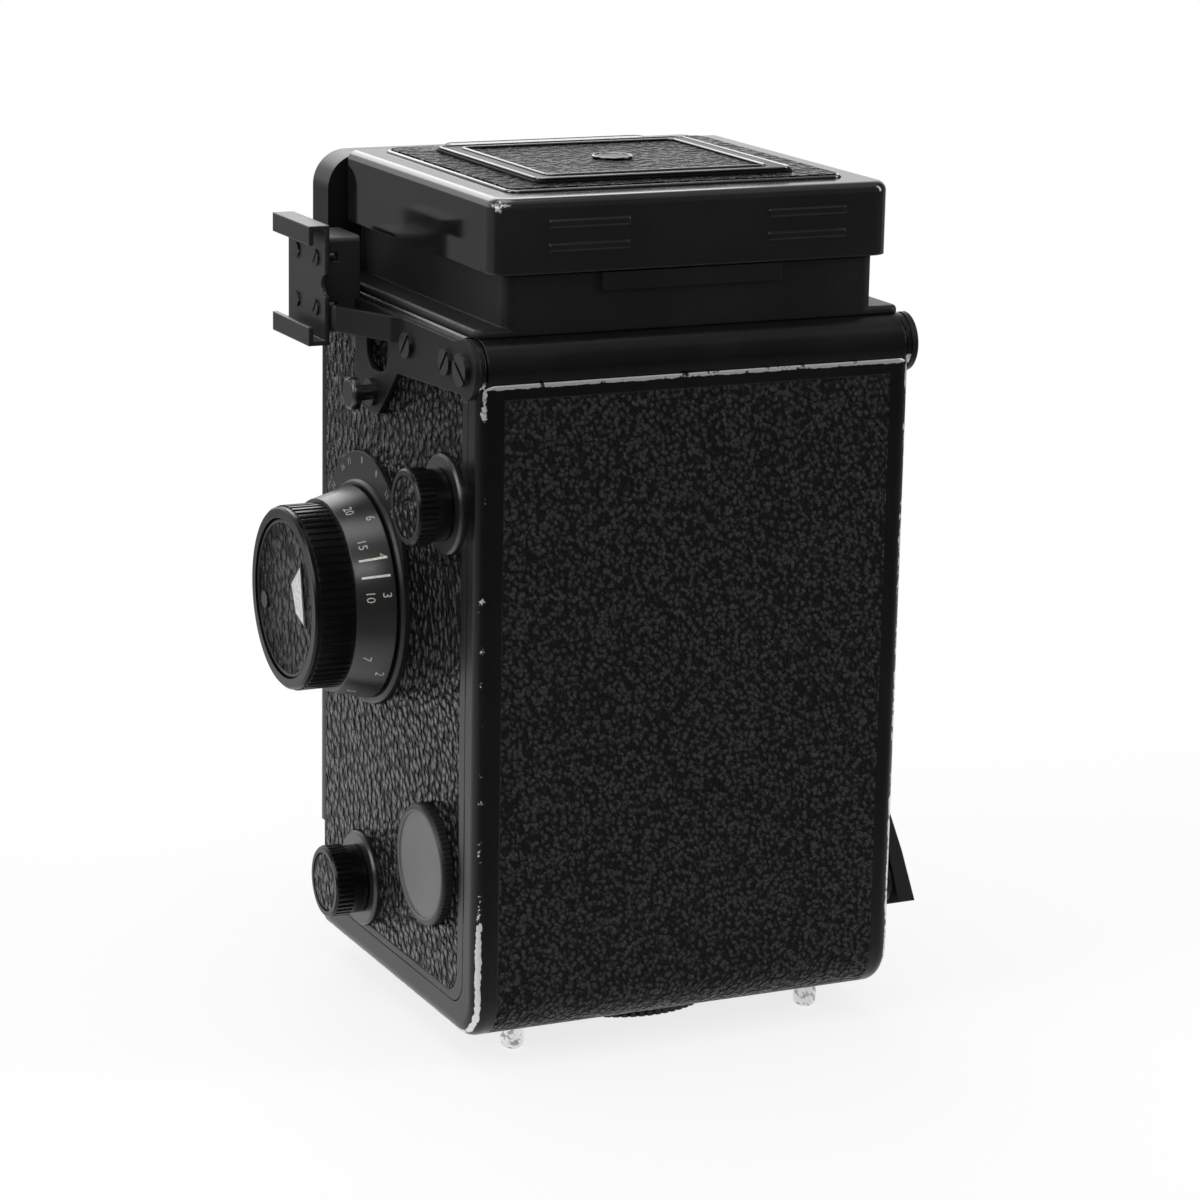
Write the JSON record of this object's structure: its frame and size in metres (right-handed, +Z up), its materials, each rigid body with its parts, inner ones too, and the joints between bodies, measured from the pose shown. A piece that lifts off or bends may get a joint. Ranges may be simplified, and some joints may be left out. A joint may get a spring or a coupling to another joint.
{
  "type": "twin lens reflex camera",
  "caption": "Black twin lens reflex roll-film camera with folding hood, side focusing knob, winding crank, hinged back and a moving lens board.",
  "frame": {"origin": "centre of the tripod socket's mouth in the camera's base", "axes": "lenses face -Y, +Z up, the focusing knob on +X and the winding crank on -X"},
  "size_m": [0.1022, 0.102, 0.1468],
  "materials": {
    "black_paint": "black stoved enamel, worn to bare metal on the edges",
    "gloss_black": "gloss black enamel on sheet aluminium",
    "black_plate": "matt black lacquered sheet",
    "satin_black": "satin black anodised",
    "leatherette": "coarse pebbled black covering",
    "black_plastic": "moulded, satin",
    "bright_metal": "satin chrome",
    "steel": "turned steel",
    "black_screws": "blackened steel",
    "brass": "machined",
    "lens_glass": "coated optical glass",
    "ground_glass": "ground on the underside",
    "cell_window": "frosted, honeycomb pattern",
    "mirror_glass": "front-silvered mirror"
  },
  "bodies": {
    "body": {"body_casting": "black_paint", "front_plate": "black_paint", "left_body_wall": "black_paint", "right_body_wall": "black_paint", "side_covers": "black_plate", "side_leathers": "leatherette", "mirror": "mirror_glass", "focusing_screen": "ground_glass", "focus_base_ring": "satin_black", "focus_dial_plate": "satin_black", "spool_knob_rings": "satin_black", "left_strap_plate": "black_plate", "right_strap_plate": "black_plate", "plate_screws": "black_screws", "hinge_pins": "black_screws", "strap_studs": "black_screws", "accessory_shoe": "black_plate", "shoe_screws": "black_screws", "hood_base": "black_paint", "meter_housing": "black_plastic", "meter_cell": "cell_window"},
    "door": {"back_door": "black_paint", "back_leather": "leatherette", "feet": "bright_metal", "tripod_bush": "steel", "pressure_springs": "steel"},
    "film_plate": {"pressure_plate": "black_plate"},
    "tripod_ring": {"lock_ring": "satin_black"},
    "take_up": {"take_up_spool": "black_plastic", "take_up_gear": "brass"},
    "idler": {"idler_gear": "brass"},
    "crank": {"crank_hub": "satin_black", "crank_gear": "brass"},
    "crank_lever": {"crank_arm": "satin_black"},
    "crank_grip": {"crank_handle": "black_plastic"},
    "upper_roller": {"upper_film_roller": "steel"},
    "lower_roller": {"lower_film_roller": "steel"},
    "focus": {"focus_knob": "satin_black", "knob_insert": "leatherette", "focus_drum": "satin_black", "focus_shaft": "steel"},
    "lens_board": {"lens_standard": "satin_black", "lens_barrels": "satin_black", "lens_bayonets": "bright_metal", "lens_glass": "lens_glass"},
    "aperture": {"aperture_wheel": "satin_black"},
    "shutter": {"shutter_wheel": "satin_black"},
    "release": {"release_button": "bright_metal"},
    "release_lock": {"release_lock_ring": "bright_metal"},
    "self_timer": {"self_timer_lever": "bright_metal"},
    "upper_knob": {"upper_spool_knob": "satin_black"},
    "lower_knob": {"lower_spool_knob": "satin_black"},
    "port": {"port_cover": "satin_black"},
    "lid": {"hood_lid": "gloss_black", "lid_leather": "leatherette", "finder_frame": "gloss_black", "magnifier": "lens_glass"},
    "left_panel": {"left_hood_panel": "black_plate"},
    "right_panel": {"right_hood_panel": "black_plate"},
    "rear_panel": {"rear_hood_panel": "black_plate"}
  },
  "joints": [
    {"name": "door_hinge", "type": "hinge", "parent": "body", "child": "door", "pos_m": [0, 0.025, 0.1171], "axis": [1, 0, 0], "range_deg": [0, 90]},
    {"name": "plate_slide", "type": "slide", "parent": "door", "child": "film_plate", "axis": [0, 1, 0], "range_m": [0, 0.0003], "stiffness_N_per_m": 300, "springref_m": -0.0004},
    {"name": "tripod_ring_turn", "type": "hinge", "parent": "door", "child": "tripod_ring", "pos_m": [0, 0, 0.0015], "axis": [0, 0, 1], "range_deg": [0, 60]},
    {"name": "crank_turn", "type": "hinge", "parent": "body", "child": "crank", "pos_m": [0, 0.004, 0.05672], "axis": [1, 0, 0], "range_deg": [0, 220]},
    {"name": "idler_spin", "type": "hinge", "parent": "body", "child": "idler", "pos_m": [0, 0.01175, 0.08028], "axis": [1, 0, 0], "range_deg": [-402, 0]},
    {"name": "take_up_spin", "type": "hinge", "parent": "body", "child": "take_up", "pos_m": [0, 0.016, 0.0932], "axis": [1, 0, 0], "range_deg": [0, 736]},
    {"name": "crank_fold", "type": "hinge", "parent": "crank", "child": "crank_lever", "pos_m": [-0.04245, 0.004, 0.05672], "axis": [0, 0.9325, 0.3611], "range_deg": [0, 170]},
    {"name": "grip_spin", "type": "hinge", "parent": "crank_lever", "child": "crank_grip", "pos_m": [0, 0.01845, 0.01941], "axis": [1, 0, 0], "continuous": true},
    {"name": "upper_roller_spin", "type": "hinge", "parent": "body", "child": "upper_roller", "pos_m": [0, 0.02255, 0.0796], "axis": [1, 0, 0], "continuous": true},
    {"name": "lower_roller_spin", "type": "hinge", "parent": "body", "child": "lower_roller", "pos_m": [0, 0.02255, 0.0174], "axis": [1, 0, 0], "continuous": true},
    {"name": "focus_turn", "type": "hinge", "parent": "body", "child": "focus", "pos_m": [0, -0.0186, 0.0706], "axis": [1, 0, 0], "range_deg": [0, 300.1]},
    {"name": "lens_slide", "type": "slide", "parent": "body", "child": "lens_board", "axis": [0, -1, 0], "range_m": [0, 0.0061]},
    {"name": "aperture_turn", "type": "hinge", "parent": "lens_board", "child": "aperture", "pos_m": [0.02, -0.053, 0.0695], "axis": [0, -1, 0], "range_deg": [0, 120]},
    {"name": "shutter_turn", "type": "hinge", "parent": "lens_board", "child": "shutter", "pos_m": [-0.02, -0.053, 0.0695], "axis": [0, -1, 0], "range_deg": [0, 150]},
    {"name": "release_press", "type": "slide", "parent": "lens_board", "child": "release", "axis": [0, 1, 0], "range_m": [0, 0.003], "stiffness_N_per_m": 300, "springref_m": -0.001},
    {"name": "release_lock_turn", "type": "hinge", "parent": "lens_board", "child": "release_lock", "pos_m": [-0.024, -0.053, 0.035], "axis": [0, -1, 0], "range_deg": [0, 60]},
    {"name": "self_timer_turn", "type": "hinge", "parent": "lens_board", "child": "self_timer", "pos_m": [0.027, -0.053, 0.057], "axis": [0, -1, 0], "range_deg": [0, 70]},
    {"name": "upper_knob_pull", "type": "slide", "parent": "body", "child": "upper_knob", "axis": [1, 0, 0], "range_m": [0, 0.007]},
    {"name": "lower_knob_pull", "type": "slide", "parent": "body", "child": "lower_knob", "axis": [1, 0, 0], "range_m": [0, 0.007]},
    {"name": "port_turn", "type": "hinge", "parent": "body", "child": "port", "pos_m": [0.03735, 0.01, 0.0298], "axis": [1, 0, 0], "range_deg": [0, 90]},
    {"name": "lid_hinge", "type": "hinge", "parent": "body", "child": "lid", "pos_m": [0, -0.0359, 0.1426], "axis": [1, 0, 0], "range_deg": [0, 90]},
    {"name": "left_panel_fold", "type": "hinge", "parent": "body", "child": "left_panel", "pos_m": [0.0313, 0, 0.1244], "axis": [0, 1, 0], "range_deg": [0, 90.5]},
    {"name": "right_panel_fold", "type": "hinge", "parent": "body", "child": "right_panel", "pos_m": [-0.0313, 0, 0.1244], "axis": [0, -1, 0], "range_deg": [0, 90.5]},
    {"name": "rear_panel_fold", "type": "hinge", "parent": "body", "child": "rear_panel", "pos_m": [0, 0.0238, 0.1244], "axis": [-1, 0, 0], "range_deg": [0, 90.5]}
  ],
  "couplings": [
    {"joint": "idler_spin", "follows": "crank_turn", "ratio": -1.8182},
    {"joint": "take_up_spin", "follows": "crank_turn", "ratio": 3.3333},
    {"joint": "focus_turn", "follows": "lens_slide", "rad_per_m": 858.36},
    {"joint": "left_panel_fold", "follows": "lid_hinge", "ratio": 1},
    {"joint": "right_panel_fold", "follows": "lid_hinge", "ratio": 1},
    {"joint": "rear_panel_fold", "follows": "lid_hinge", "ratio": 1}
  ]
}
